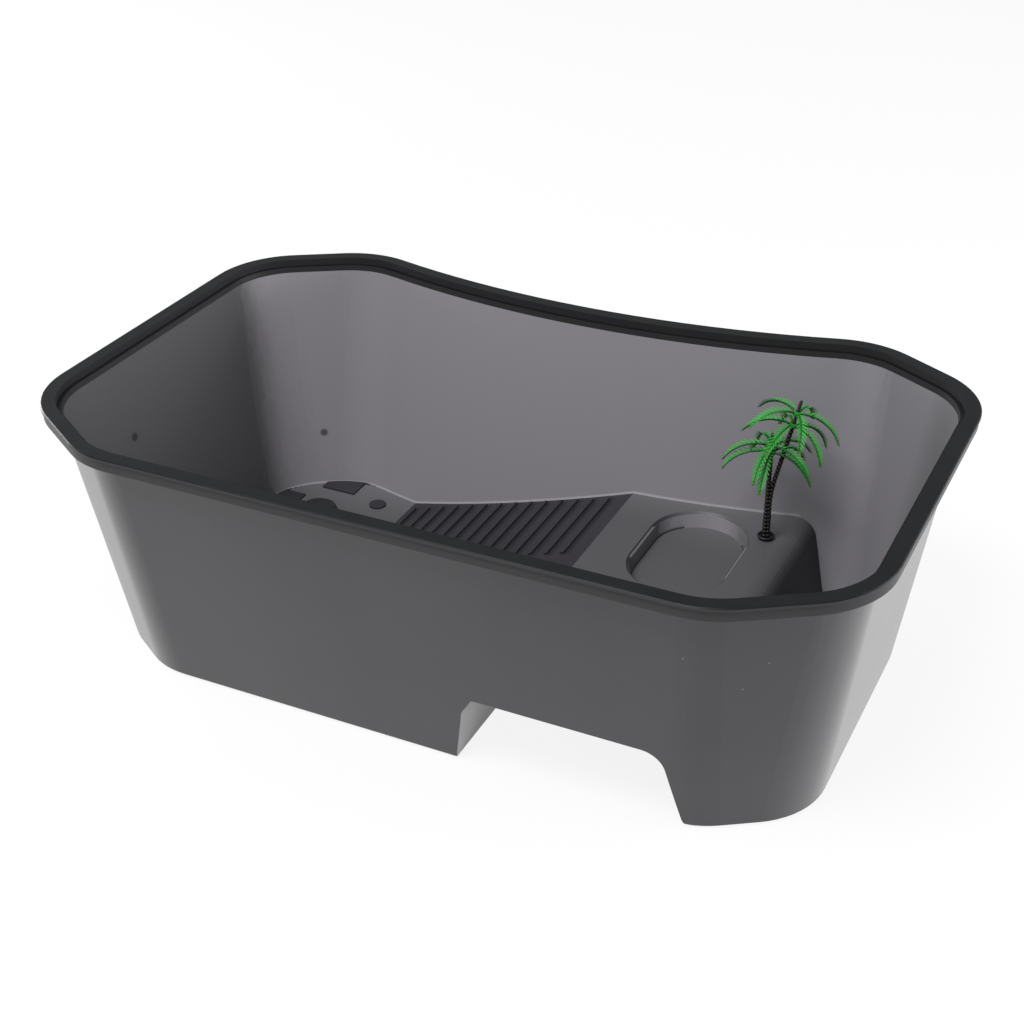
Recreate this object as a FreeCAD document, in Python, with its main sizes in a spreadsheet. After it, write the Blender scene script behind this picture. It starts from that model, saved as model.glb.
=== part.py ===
import FreeCAD, Part
import math
import os
import Sketcher

# Turtle tank: one moulded tub with a tray, a ribbed ramp, a raised platform with a food bowl
# and a deep end, a stopper in the tray's drain hole, and a small plastic palm on the platform.
# Millimetres, Z up, the tank stands on Z = 0 with its length along X and its front at -Y.

V = FreeCAD.Vector
UP = V(0, 0, 1)
doc = FreeCAD.newDocument("turtle_tank")

SIZES = [
    ("rim_length", 400.0, "rim, end to end"),
    ("rim_front", 124.5, "origin to the rim's front edge"),
    ("rim_back", 128.2, "origin to the sharp back corners of the rim"),
    ("rim_front_flat", 286.0, "straight front edge between its sharp corners"),
    ("rim_back_flat", 276.0, "bowed back edge between its sharp corners"),
    ("rim_end_front", 88.6, "front corners of the rim's ends"),
    ("rim_end_back", 92.2, "back corners of the rim's ends"),
    ("rim_corner_radius", 45.0, "rounding of the rim's eight corners"),
    ("base_length", 352.8, "base, end to end"),
    ("base_front", 99.0, "origin to the base's front edge"),
    ("base_back", 98.0, "origin to the sharp back corners of the base"),
    ("base_front_flat", 268.4, "straight front edge of the base"),
    ("base_back_flat", 273.4, "bowed back edge of the base"),
    ("bow_radius", 456.0, "radius of the back wall's inward bow at the rim"),
    ("tub_height", 128.6, "floor line to the top of the rim"),
    ("sheet", 2.0, "wall and floor thickness"),
    ("base_edge", 1.6, "slanted edge where the walls meet the underside"),
    ("rim_band", 7.0, "width of the rim's flat top"),
    ("rim_plate", 1.6, "thickness of the rim's flat top"),
    ("rim_edge", 0.5, "slanted outer edge of the rim"),
    ("rim_undercut", 0.7, "skirt's step back under the rim's edge"),
    ("skirt_thickness", 1.4, "thickness of the down-turned skirt"),
    ("skirt_drop", 6.2, "top of the rim to the skirt's lower edge"),
    ("ledge_width", 1.6, "ledge inside the rim, for a lid"),
    ("ledge_drop", 3.5, "top of the rim down to the ledge"),
    ("ramp_foot", 99.0, "ramp's foot, left of the origin"),
    ("ramp_top", 31.0, "ramp's top edge, right of the origin"),
    ("platform_height", 41.2, "top of the platform"),
    ("platform_edge", 121.7, "platform's sharp right edge"),
    ("platform_foot", 131.2, "foot of the platform's right side"),
    ("platform_radius", 12.8, "rounding of the platform's right edge"),
    ("floor_radius", 3.0, "rounding at the deep end's floor"),
    ("web_foot", 22.8, "channel's left side at the bottom"),
    ("web_top", 30.4, "channel's left side at its ceiling"),
    ("web_edge_radius", 1.6, "rounding of the web's lower edge"),
    ("pocket_start", 88.0, "left end of the hollow under the ramp"),
    ("rib_count", 14.0, "ribs across the ramp"),
    ("rib_first", 94.2, "first rib's upper edge, left of the origin"),
    ("rib_pitch", 8.82, "rib to rib along X"),
    ("rib_width", 1.8, "width of one rib"),
    ("rib_height", 0.9, "rib above the ramp"),
    ("rib_near", 20.8, "front end of the ribs"),
    ("rib_far", 79.0, "back end of the ribs"),
    ("bowl_x", 76.2, "food bowl's centre, along X"),
    ("bowl_y", 43.8, "food bowl's centre, along Y"),
    ("bowl_length", 75.2, "food bowl's length at the platform"),
    ("bowl_width", 47.6, "food bowl's width at the platform"),
    ("bowl_depth", 8.0, "depth of the food bowl"),
    ("bowl_taper", 11.0, "slope of the bowl's wall, in degrees"),
    ("bowl_edge", 1.2, "slanted upper edge of the bowl"),
    ("pad_height", 0.9, "raised pads above the tray's floor"),
    ("pad_radius", 4.6, "round pad"),
    ("pad_x", 117.0, "round pad's centre, left of the origin"),
    ("pad_y", 75.8, "round pad's centre"),
    ("corner_pad_left", 154.8, "corner pad's left end, left of the origin"),
    ("corner_pad_right", 134.6, "corner pad's right end, left of the origin"),
    ("corner_pad_near", 79.8, "corner pad's front edge"),
    ("end_pad_right", 158.8, "end pad's right edge, left of the origin"),
    ("end_pad_near", 40.0, "end pad's front edge"),
    ("end_pad_far", 68.4, "end pad's back edge"),
    ("drain_x", 143.2, "drain hole's centre, left of the origin"),
    ("drain_y", 56.0, "drain hole's centre"),
    ("drain_radius", 6.5, "drain hole"),
    ("stopper_radius", 10.2, "stopper's cap"),
    ("stopper_cap", 3.2, "height of the stopper's cap"),
    ("stopper_edge", 0.6, "slanted edge of the cap"),
    ("stopper_play", 0.1, "stopper's stem to the hole, all round"),
    ("stopper_clear", 0.4, "stopper's stem above the surface below"),
    ("stopper_bore", 3.6, "hollow in the stopper's stem"),
    ("palm_x", 106.2, "palm's foot, along X"),
    ("palm_y", 70.2, "palm's foot, along Y"),
    ("palm_peg_radius", 1.6, "peg under the palm's foot"),
    ("palm_peg_play", 0.1, "peg to its hole, all round"),
    ("palm_sleeve_wall", 1.6, "wall of the sleeve under the platform"),
    ("palm_sleeve_drop", 5.0, "sleeve below the platform's sheet"),
    ("cup_height", 3.4, "cup at the palm's foot"),
    ("cup_top_radius", 3.9, "cup's rim"),
    ("cup_foot_radius", 1.9, "cup's foot"),
    ("cup_wall", 0.8, "cup's wall"),
    ("stem_radius", 1.1, "palm stems"),
    ("trunk_radius", 1.5, "trunk below the fork"),
    ("stem_spread", 0.5, "each stem's centre to the palm's middle at the fork"),
    ("stem_sides", 8.0, "facets round a stem"),
    ("stem_ring", 0.25, "bulge of the rings round the stems"),
    ("stem_ring_pitch", 7.0, "ring to ring along a stem"),
    ("fork_height", 25.0, "platform to the fork of the stems"),
    ("short_stem", 58.0, "platform to the short stem's tip"),
    ("tall_stem", 75.0, "platform to the tall stem's tip"),
    ("tall_reach", 12.0, "tall stem's tip, sideways from the middle"),
    ("lean_angle", 25.9, "direction in which the tall stem leans, degrees from +X"),
    ("pin_radius", 0.95, "smooth pin that carries the leaves"),
    ("crown_play", 0.05, "pin to the leaves' hub, all round"),
    ("hub_radius", 2.2, "hub of a ring of leaves"),
    ("hub_height", 2.0, "height of that hub"),
    ("upper_drop", 6.6, "stem's tip to the middle of the upper leaves"),
    ("tall_lower_drop", 13.0, "tall stem's tip to the lower leaves"),
    ("short_lower_drop", 10.0, "short stem's tip to the lower leaves"),
    ("tall_spin", -63.7, "direction of the tall crown's first leaf, degrees"),
    ("tall_twist", 36.0, "tall crown's lower leaves, turned past the upper"),
    ("short_spin", -92.0, "direction of the short crown's first leaf, degrees"),
    ("short_twist", 8.0, "short crown's lower leaves, turned past the upper"),
    ("leaf_room", 0.3, "a stem to the other stem's leaves"),
    ("leaf_count", 5.0, "leaves in one ring"),
    ("leaf_arc", 19.0, "radius of a leaf's droop"),
    ("leaf_rise", 12.0, "a leaf's upward slope at the hub, degrees"),
    ("leaf_fall", 62.0, "a leaf's downward slope at its tip, degrees"),
    ("leaf_width", 6.0, "leaf at its widest"),
    ("leaf_sheet", 0.6, "thickness of a leaf"),
    ("leaf_rib", 1.0, "width of a leaf's middle rib"),
    ("leaf_flats", 3.0, "flat lengths in a leaf's droop"),
    ("leaflet_count", 4.0, "leaflets on each side of a leaf"),
]


class Size:
    """A length together with the sheet expression that gives it."""

    def __init__(self, value, text):
        self.value = value
        self.text = text

    def __add__(self, other):
        other = as_size(other)
        return Size(self.value + other.value, f"({self.text} + {other.text})")

    def __sub__(self, other):
        other = as_size(other)
        return Size(self.value - other.value, f"({self.text} - {other.text})")

    def __mul__(self, other):
        other = as_size(other)
        return Size(self.value * other.value, f"({self.text} * {other.text})")

    def __truediv__(self, other):
        other = as_size(other)
        return Size(self.value / other.value, f"({self.text} / {other.text})")

    def __neg__(self):
        return Size(-self.value, f"(0 - {self.text})")


def smaller(first, second):
    return Size(min(first.value, second.value), f"min({first.text}; {second.text})")


def as_size(number):
    return number if isinstance(number, Size) else Size(float(number), f"({float(number)})")


def make_sheet():
    """The driving dimensions: a name, a number and a note in each row."""
    sheet = doc.addObject("Spreadsheet::Sheet", "size")
    for row, (name, value, note) in enumerate(SIZES, start=1):
        sheet.set(f"A{row}", name)
        sheet.set(f"B{row}", str(value))
        sheet.set(f"C{row}", note)
        sheet.setAlias(f"B{row}", name)
    doc.recompute()
    return {name: Size(float(getattr(sheet, name)), f"size.{name}") for name, _, _ in SIZES}


s = make_sheet()


def bind(obj, **sizes):
    """Ties properties of an object to the sheet."""
    for prop, amount in sizes.items():
        obj.setExpression(prop.replace("__", "."), as_size(amount).text)
    return obj


def add(kind, name, **sizes):
    return bind(doc.addObject(kind, name), **sizes)


def place(obj, x=0.0, y=0.0, z=0.0):
    for axis, amount in (("x", x), ("y", y), ("z", z)):
        obj.setExpression(f".Placement.Base.{axis}", as_size(amount).text)
    return obj


def unite(name, *shapes):
    fused = doc.addObject("Part::MultiFuse", name)
    fused.Shapes = list(shapes)
    return fused


def cut(name, base, tool):
    result = doc.addObject("Part::Cut", name)
    result.Base = base
    result.Tool = tool
    return result


def common(name, *shapes):
    result = doc.addObject("Part::MultiCommon", name)
    result.Shapes = list(shapes)
    return result


def point(corner):
    return V(corner[0].value, corner[1].value, 0)


def rounded_corner(before, corner, after, radius):
    """Start, middle and end of the arc that rounds the corner between two straight sides."""
    towards = (before - corner).normalize()
    away = (after - corner).normalize()
    half = towards.getAngle(away) / 2
    run = radius / math.tan(half)
    centre = corner + (towards + away).normalize() * (radius / math.sin(half))
    middle = centre + (corner - centre).normalize() * radius
    return corner + towards * run, middle, corner + away * run


def rounded_bow_corner(other, corner, bow_centre, bow_radius, radius):
    """The same where a straight side meets the bow, which curves into the tub."""
    along = (other - corner).normalize()
    inward = along.cross(UP) if along.cross(UP).y < 0 else along.cross(UP) * -1
    start = corner + inward * radius - bow_centre
    reach = bow_radius + radius
    run = -start.dot(along) + math.sqrt(start.dot(along) ** 2 - start.Length ** 2 + reach ** 2)
    runs = [run, -2 * start.dot(along) - run]
    run = min(runs, key=abs)
    centre = corner + along * run + inward * radius
    on_bow = centre + (bow_centre - centre).normalize() * radius
    on_side = corner + along * run
    middle = centre + ((on_bow - centre) + (on_side - centre)).normalize() * radius
    return on_side, middle, on_bow


def arc_through(start, middle, end):
    """The arc through three points, always drawn anticlockwise."""
    turns_left = (middle - start).cross(end - middle).z > 0
    return Part.Arc(start, middle, end) if turns_left else Part.Arc(end, middle, start)


def add_path(sketch, corners, arcs, bow=None):
    """Sides and corner arcs in order round an outline, tangent to each other, with each
    sharp corner kept as a point whose place is tied to the sheet."""
    count = len(corners)
    edges = []
    for i, corner in enumerate(corners):
        if arcs[i]:
            edges.append((arc_through(*arcs[i]), arcs[i][0], arcs[i][2], "arc", i))
        start = arcs[i][2] if arcs[i] else point(corner)
        following = (i + 1) % count
        end = arcs[following][0] if arcs[following] else point(corners[following])
        if bow and i == bow["side"]:
            edges.append((arc_through(start, bow["middle"], end), start, end, "bow", i))
        else:
            edges.append((Part.LineSegment(start, end), start, end, "side", i))
    ids = []
    ends = []
    for curve, start, end, kind, i in edges:
        geo = sketch.addGeometry(curve, False)
        ids.append(geo)
        first = (sketch.Geometry[geo].StartPoint - start).Length < (
            sketch.Geometry[geo].StartPoint - end).Length
        ends.append((1, 2) if first else (2, 1))
    for k, (curve, start, end, kind, i) in enumerate(edges):
        nxt = (k + 1) % len(edges)
        smooth = "arc" in (kind, edges[nxt][3])
        sketch.addConstraint(Sketcher.Constraint(
            "Tangent" if smooth else "Coincident", ids[k], ends[k][1], ids[nxt], ends[nxt][0]))
    sides = {i: ids[k] for k, (_, _, _, kind, i) in enumerate(edges) if kind != "arc"}
    rounds = {i: ids[k] for k, (_, _, _, kind, i) in enumerate(edges) if kind == "arc"}
    if bow:
        name_constraint(sketch, "Radius", (sides[bow["side"]],), bow["radius"], "bow_radius")
    for i, corner in enumerate(corners):
        if i in rounds:
            mark = sketch.addGeometry(Part.Point(point(corner)), True)
            for side in (sides[(i - 1) % count], sides[i]):
                sketch.addConstraint(Sketcher.Constraint("PointOnObject", mark, 1, side))
            name_constraint(sketch, "Radius", (rounds[i],), corner[2], f"round_{i}")
            target = (mark, 1)
        else:
            k = ids.index(sides[i])
            target = (sides[i], ends[k][0])
        name_constraint(sketch, "DistanceX", (-1, 1) + target, corner[0], f"corner_{i}_x")
        name_constraint(sketch, "DistanceY", (-1, 1) + target, corner[1], f"corner_{i}_y")


def name_constraint(sketch, kind, where, amount, name):
    index = sketch.addConstraint(Sketcher.Constraint(kind, *where, amount.value))
    sketch.renameConstraint(index, name)
    sketch.setExpression(f"Constraints.{name}", amount.text)


def polygon_sketch(sketch, corners):
    """A closed outline of straight sides; a corner with a third size is rounded to it."""
    corners = [tuple(as_size(value) for value in corner) for corner in corners]
    arcs = []
    for i, corner in enumerate(corners):
        before, after = point(corners[i - 1]), point(corners[(i + 1) % len(corners)])
        rounded = len(corner) == 3
        arcs.append(rounded_corner(before, point(corner), after, corner[2].value)
                    if rounded else None)
    add_path(sketch, corners, arcs)
    return sketch


def tub_outline(name, part, height):
    """The tub's eight-sided outline, straight in front and bowed inwards at the back. Its
    slanted corner sides run the same way at the base as at the rim."""
    front_half, back_half = s[f"{part}_front_flat"] / 2, s[f"{part}_back_flat"] / 2
    end = s[f"{part}_length"] / 2
    front, back = -s[f"{part}_front"], s[f"{part}_back"]
    end_front = front + (end - front_half) * front_slope
    end_back = back - (end - back_half) * back_slope
    radius = s["rim_corner_radius"] if part == "rim" else base_corner_radius
    radius = smaller(radius, smaller(end - front_half, end - back_half))
    bow = s["bow_radius"] if part == "rim" else base_bow
    right = [(front_half, front), (end, end_front), (end, end_back), (back_half, back)]
    left = [(-x, y) for x, y in reversed(right)]
    corners = [(x, y, radius) for x, y in right + left]
    bow_centre = V(0, back.value + math.sqrt(bow.value ** 2 - back_half.value ** 2), 0)
    bow_start, bow_end = len(right) - 1, len(right)
    arcs = []
    for i, corner in enumerate(corners):
        before, after = point(corners[i - 1]), point(corners[(i + 1) % len(corners)])
        if i == bow_start:
            arcs.append(rounded_bow_corner(before, point(corner), bow_centre,
                                           bow.value, radius.value))
        elif i == bow_end:
            arcs.append(rounded_bow_corner(after, point(corner), bow_centre,
                                           bow.value, radius.value)[::-1])
        else:
            arcs.append(rounded_corner(before, point(corner), after, radius.value))
    sketch = doc.addObject("Sketcher::SketchObject", name)
    add_path(sketch, corners, arcs, {"side": bow_start, "radius": bow,
                                     "middle": bow_centre - V(0, bow.value, 0)})
    return place(sketch, z=height)


def inset(name, outline, amount):
    """The outline moved inwards all round."""
    offset = add("Part::Offset2D", name, Value=-as_size(amount))
    offset.Source = outline
    offset.Join = "Intersection"
    return offset


def rise(name, outline, height, direction=1):
    """The outline stretched up, or down, into a solid."""
    solid = add("Part::Extrusion", name, LengthFwd=height)
    solid.Base = outline
    solid.DirMode = "Custom"
    solid.Dir = UP * direction
    solid.Solid = True
    return solid


def across(name, outline, width):
    """A profile in the XZ plane stretched along Y, as far to the front as to the back."""
    solid = add("Part::Extrusion", name, LengthFwd=width)
    solid.Base = outline
    solid.DirMode = "Custom"
    solid.Dir = V(0, 1, 0)
    solid.Solid = True
    solid.Symmetric = True
    return solid


def side_profile(name, corners):
    """A sketch seen from the front: its X is the tub's X and its Y is the tub's Z."""
    sketch = doc.addObject("Sketcher::SketchObject", name)
    sketch.Placement = FreeCAD.Placement(V(0, 0, 0), FreeCAD.Rotation(V(1, 0, 0), 90))
    return polygon_sketch(sketch, corners)


def loft(name, lower, upper):
    solid = doc.addObject("Part::Loft", name)
    solid.Sections = [lower, upper]
    solid.Solid = True
    solid.Ruled = True
    return solid


def edges_where(obj, test):
    """Numbers of the edges of an object's shape that pass a test on their bounding box."""
    return [k for k, edge in enumerate(obj.Shape.Edges, start=1) if test(edge.BoundBox)]


def chamfer(name, base, size, test):
    """Slants the edges that pass the test."""
    doc.recompute()
    slanted = doc.addObject("Part::Chamfer", name)
    slanted.Base = base
    slanted.Edges = [(k, size.value, size.value) for k in edges_where(base, test)]
    return slanted


def level(height):
    return lambda box: abs(box.ZMin - height) < 0.01 and abs(box.ZMax - height) < 0.01


# Walls: a lofted block with the inside lofted out of it. The inside starts below the floor,
# which is made with the ramp and platform as one stepped block.

BELOW = 5.0
front_slope = ((s["rim_front"] - s["rim_end_front"])
               / (s["rim_length"] / 2 - s["rim_front_flat"] / 2))
back_slope = (s["rim_back"] - s["rim_end_back"]) / (s["rim_length"] / 2 - s["rim_back_flat"] / 2)
inside_inset = s["rim_band"] + s["ledge_width"]
outside_inset = inside_inset - s["sheet"]
base_corner_radius = s["rim_corner_radius"] - outside_inset
base_bow = s["bow_radius"] + outside_inset
rim_outline = tub_outline("rim_outline", "rim", s["tub_height"])
base_outline = tub_outline("base_outline", "base", s["base_edge"])
foot_outline = place(inset("foot_outline", base_outline, s["base_edge"]), z=-s["base_edge"])
foot = loft("foot", foot_outline, base_outline)
wall_outside = loft("wall_outside", base_outline, inset("wall_top", rim_outline, outside_inset))
wall_block = unite("wall_block", foot, wall_outside)
base_inside = place(inset("base_inside", base_outline, s["sheet"]), z=-s["base_edge"])
wall_inside = loft("wall_inside", base_inside,
                   inset("wall_top_inside", rim_outline, inside_inset))

half_span = s["rim_length"] / 2
land_outline = side_profile("land_outline", [
    (-half_span, s["sheet"]),
    (-s["ramp_foot"], s["sheet"]),
    (s["ramp_top"], s["platform_height"]),
    (s["platform_edge"], s["platform_height"], s["platform_radius"]),
    (s["platform_foot"], s["sheet"], s["floor_radius"]),
    (half_span, s["sheet"]),
    (half_span, as_size(-BELOW)),
    (-half_span, as_size(-BELOW)),
])
land = across("land", land_outline, s["rim_length"])
water_space = cut("water_space", wall_inside, land)

# Under the land the sheet has the same thickness: a closed-in hollow under the ramp and,
# past a web, a channel under the platform that is open to the front and the back.

underside = across("underside", inset("underside_outline", land_outline, s["sheet"]),
                   s["rim_length"])
web_slope = s["web_top"] - s["web_foot"]
ceiling = s["platform_height"]
ramp_side = side_profile("ramp_side", [
    (-s["pocket_start"], as_size(-BELOW)),
    (s["web_foot"] - s["sheet"] - web_slope * BELOW / ceiling, as_size(-BELOW)),
    (s["web_top"] - s["sheet"], ceiling),
    (-s["pocket_start"], ceiling),
])
channel_side = side_profile("channel_side", [
    (s["web_foot"] - s["sheet"] * 2, as_size(-BELOW)),
    (s["web_foot"] - s["sheet"] * 2, as_size(0)),
    (s["web_foot"], as_size(0), s["web_edge_radius"]),
    (s["web_top"], ceiling),
    (half_span, ceiling),
    (half_span, as_size(-BELOW)),
])
ramp_hollow = common("ramp_hollow", underside, across("ramp_zone", ramp_side, s["rim_length"]),
                     wall_inside)
channel = common("channel", underside, across("channel_zone", channel_side, s["rim_length"]))

# Rim: a flat band with a slanted edge, a skirt turned down a little inside it, and a ledge
# one step below the band, on which a lid would sit.

band = chamfer("band", rise("band_block", rim_outline, s["rim_plate"], -1), s["rim_edge"],
               level(s["tub_height"].value))
skirt_outside = inset("skirt_outline", rim_outline, s["rim_undercut"])
skirt_block = rise("skirt_block", skirt_outside, s["skirt_drop"], -1)
groove_outside = inset("groove_outline", rim_outline, s["rim_undercut"] + s["skirt_thickness"])
groove_core = inset("groove_core_outline", rim_outline, s["rim_band"] - s["sheet"])
groove_depth = s["skirt_drop"] - s["rim_plate"] + BELOW
groove = place(cut("groove", rise("groove_block", groove_outside, groove_depth, -1),
                   rise("groove_core", groove_core, groove_depth, -1)), z=-s["rim_plate"])
core_foot = s["ledge_drop"] + s["sheet"]
below_core = place(rise("below_core", groove_core, s["skirt_drop"], -1), z=-core_foot)
lid_seat = rise("lid_seat", inset("lid_seat_outline", rim_outline, s["rim_band"]),
                s["ledge_drop"], -1)
rim_block = cut("rim_block", cut("rim_with_groove", unite("rim_blocks", band, skirt_block), groove),
                below_core)

# Food bowl: a round-ended recess with sloping sides, its sheet hanging below the platform.


def bowl_outline():
    """Two half circles joined by straight sides, at the platform's surface."""
    sketch = doc.addObject("Sketcher::SketchObject", "bowl_outline")
    radius = s["bowl_width"] / 2
    straight = (s["bowl_length"] - s["bowl_width"]) / 2
    r, y = radius.value, straight.value
    right = sketch.addGeometry(Part.LineSegment(V(r, -y, 0), V(r, y, 0)), False)
    far = sketch.addGeometry(Part.Arc(V(r, y, 0), V(0, y + r, 0), V(-r, y, 0)), False)
    left = sketch.addGeometry(Part.LineSegment(V(-r, y, 0), V(-r, -y, 0)), False)
    near = sketch.addGeometry(Part.Arc(V(-r, -y, 0), V(0, -y - r, 0), V(r, -y, 0)), False)
    for first, second in ((right, far), (far, left), (left, near), (near, right)):
        sketch.addConstraint(Sketcher.Constraint("Tangent", first, 2, second, 1))
    name_constraint(sketch, "Radius", (far,), radius, "end_radius")
    name_constraint(sketch, "DistanceX", (-1, 1, far, 3), as_size(0), "far_x")
    name_constraint(sketch, "DistanceY", (-1, 1, far, 3), straight, "far_y")
    name_constraint(sketch, "DistanceX", (-1, 1, near, 3), as_size(0), "near_x")
    name_constraint(sketch, "DistanceY", (-1, 1, near, 3), -straight, "near_y")
    return place(sketch, s["bowl_x"], s["bowl_y"], s["platform_height"])


def tapered(name, outline, depth):
    solid = rise(name, outline, depth, -1)
    return bind(solid, TaperAngle=-s["bowl_taper"])


bowl_top = bowl_outline()
bowl_recess = tapered("bowl_recess", bowl_top, s["bowl_depth"])
bowl_wall = tapered("bowl_wall", inset("bowl_wall_outline", bowl_top, -s["sheet"]),
                    s["bowl_depth"] + s["sheet"])

# Palm socket: a hole in the platform with a short sleeve under it.

sleeve_length = s["palm_sleeve_drop"] + s["sheet"]
hole_radius = s["palm_peg_radius"] + s["palm_peg_play"]
sleeve = place(add("Part::Cylinder", "sleeve", Radius=hole_radius + s["palm_sleeve_wall"],
                   Height=sleeve_length),
               s["palm_x"], s["palm_y"], s["platform_height"] - sleeve_length)
palm_hole = place(add("Part::Cylinder", "palm_hole", Radius=hole_radius,
                      Height=sleeve_length * 2),
                  s["palm_x"], s["palm_y"], s["platform_height"] - sleeve_length * 1.5)

# Tray: three low pads on the floor and the drain hole.

pad_top = s["sheet"] + s["pad_height"]
round_pad = place(add("Part::Cylinder", "round_pad", Radius=s["pad_radius"], Height=pad_top),
                  -s["pad_x"], s["pad_y"])
corner_pad = place(add("Part::Box", "corner_pad", Height=pad_top,
                       Length=s["corner_pad_left"] - s["corner_pad_right"],
                       Width=s["base_back"] - s["corner_pad_near"]),
                   -s["corner_pad_left"], s["corner_pad_near"])
end_pad = place(add("Part::Box", "end_pad", Height=pad_top,
                    Length=s["base_length"] / 2 - s["end_pad_right"],
                    Width=s["end_pad_far"] - s["end_pad_near"]),
                -s["base_length"] / 2, s["end_pad_near"])
pads = common("pads", unite("pad_blocks", round_pad, corner_pad, end_pad), wall_inside)
drain_hole = place(add("Part::Cylinder", "drain_hole", Radius=s["drain_radius"],
                       Height=s["sheet"] * 3), -s["drain_x"], s["drain_y"], -s["sheet"])

# Ramp ribs: low bars straight across the ramp, square to its surface.

ramp_angle = math.atan2(s["platform_height"].value - s["sheet"].value,
                        s["ramp_top"].value + s["ramp_foot"].value)
ramp_grade = (s["platform_height"] - s["sheet"]) / (s["ramp_top"] + s["ramp_foot"])
ribs = []
for number in range(int(s["rib_count"].value)):
    upper_edge = -s["rib_first"] + s["rib_pitch"] * number
    rib = add("Part::Box", f"rib_{number + 1}", Length=s["rib_width"],
              Width=s["rib_far"] - s["rib_near"], Height=s["rib_height"] + s["sheet"] / 2)
    lift = s["sheet"] + (upper_edge + s["ramp_foot"]) * ramp_grade
    rib.Placement.Rotation = FreeCAD.Rotation(V(0, -1, 0), math.degrees(ramp_angle))
    sunk_x = s["rib_width"] * math.cos(ramp_angle) - s["sheet"] / 2 * math.sin(ramp_angle)
    sunk_z = s["rib_width"] * math.sin(ramp_angle) + s["sheet"] / 2 * math.cos(ramp_angle)
    ribs.append(place(rib, upper_edge - sunk_x, s["rib_near"], lift - sunk_z))

# Tub: everything above is one moulding.

spaces = unite("spaces", water_space, lid_seat, ramp_hollow, channel)
shell = cut("shell", unite("outside", wall_block, rim_block), spaces)
furnished = unite("furnished", shell, bowl_wall, sleeve, pads, *ribs)
openings = unite("openings", bowl_recess, palm_hole, drain_hole)
tub_sharp = cut("tub_sharp", furnished, openings)
bowl_middle_y = s["bowl_y"].value
bowl_reach = s["bowl_length"].value / 2 + 1


def bowl_edge(box):
    """The loop where the bowl meets the platform."""
    return (level(s["platform_height"].value)(box)
            and abs(box.Center.x - s["bowl_x"].value) < s["bowl_width"].value / 2 + 1
            and abs(box.Center.y - bowl_middle_y) < bowl_reach
            and box.DiagonalLength < s["bowl_length"].value)


tub = chamfer("tub_shape", tub_sharp, s["bowl_edge"], bowl_edge)


# Stopper: a flat cap with a hollow stem that fills the drain hole.


def revolved_body(name, corners):
    """A body turned about Z from a half profile, given as distance from the axis and height."""
    body = doc.addObject("PartDesign::Body", name)
    plane = next(feature for feature in body.Origin.OriginFeatures if feature.Role == "XZ_Plane")
    sketch = body.newObject("Sketcher::SketchObject", f"{name}_profile")
    sketch.AttachmentSupport = (plane, [""])
    sketch.MapMode = "FlatFace"
    polygon_sketch(sketch, corners)
    turned = body.newObject("PartDesign::Revolution", f"{name}_turned")
    turned.Profile = sketch
    turned.ReferenceAxis = (sketch, ["V_Axis"])
    turned.Angle = 360
    body.Tip = turned
    return body


stem_outside = s["drain_radius"] - s["stopper_play"]
stem_depth = s["sheet"] - s["stopper_clear"]
cap_height = s["stopper_cap"]
stopper = revolved_body("stopper", [
    (as_size(0), cap_height / 3),
    (s["stopper_bore"], cap_height / 3),
    (s["stopper_bore"], -stem_depth),
    (stem_outside, -stem_depth),
    (stem_outside, as_size(0)),
    (s["stopper_radius"], as_size(0)),
    (s["stopper_radius"], cap_height - s["stopper_edge"]),
    (s["stopper_radius"] - s["stopper_edge"], cap_height),
    (as_size(0), cap_height),
])
place(stopper, -s["drain_x"], s["drain_y"], s["sheet"])


# Palm trunk: a cup and peg with two ringed stems, one upright and one leaning.

lean = math.radians(s["lean_angle"].value)
LEAN = V(math.cos(lean), math.sin(lean), 0)
palm_foot = V(s["palm_x"].value, s["palm_y"].value, s["platform_height"].value)


def stem_point(sideways, height):
    return palm_foot + LEAN * sideways + UP * height


def stem_tip(tall):
    if tall:
        return stem_point(s["tall_reach"].value, s["tall_stem"].value)
    return stem_point(-s["stem_spread"].value / 2, s["short_stem"].value)


def stem_fork(tall):
    side = 1 if tall else -1
    return stem_point(side * s["stem_spread"].value, s["fork_height"].value)


def lower_drop(tall):
    """Stem's tip to the middle of its lower ring of leaves, whose hub sits on a shoulder."""
    return s["tall_lower_drop" if tall else "short_lower_drop"].value


def faceted_stem(profile):
    """A many-sided solid about Z through radius and height pairs."""
    sides = int(s["stem_sides"].value)
    turns = [2 * math.pi * k / sides for k in range(sides)]
    loops = [[V(r * math.cos(a), r * math.sin(a), z) for a in turns] for r, z in profile]
    faces = [Part.Face(Part.makePolygon(loop + loop[:1])) for loop in (loops[0], loops[-1])]
    for lower, upper in zip(loops, loops[1:]):
        for k in range(sides):
            corners = [lower[k - 1], lower[k], upper[k], upper[k - 1]]
            faces.append(Part.Face(Part.makePolygon(corners + corners[:1])))
    return Part.Solid(Part.Shell(faces))


def ringed_run(start, end, radius, pin_length=0.0):
    """A length of stem with rings, which may end in a smooth round pin."""
    length = (end - start).Length
    ringed = length - pin_length
    rings = max(1, round(ringed / s["stem_ring_pitch"].value))
    step = ringed / rings
    profile = []
    for k in range(rings):
        profile += [(radius, k * step), (radius + s["stem_ring"].value, (k + 0.75) * step)]
    profile.append((radius, ringed))
    solid = faceted_stem(profile)
    if pin_length:
        pin = Part.makeCylinder(s["pin_radius"].value, pin_length + radius,
                                V(0, 0, ringed - radius))
        solid = solid.fuse(pin)
    solid.Placement = FreeCAD.Placement(start, FreeCAD.Rotation(UP, end - start))
    return solid


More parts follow.
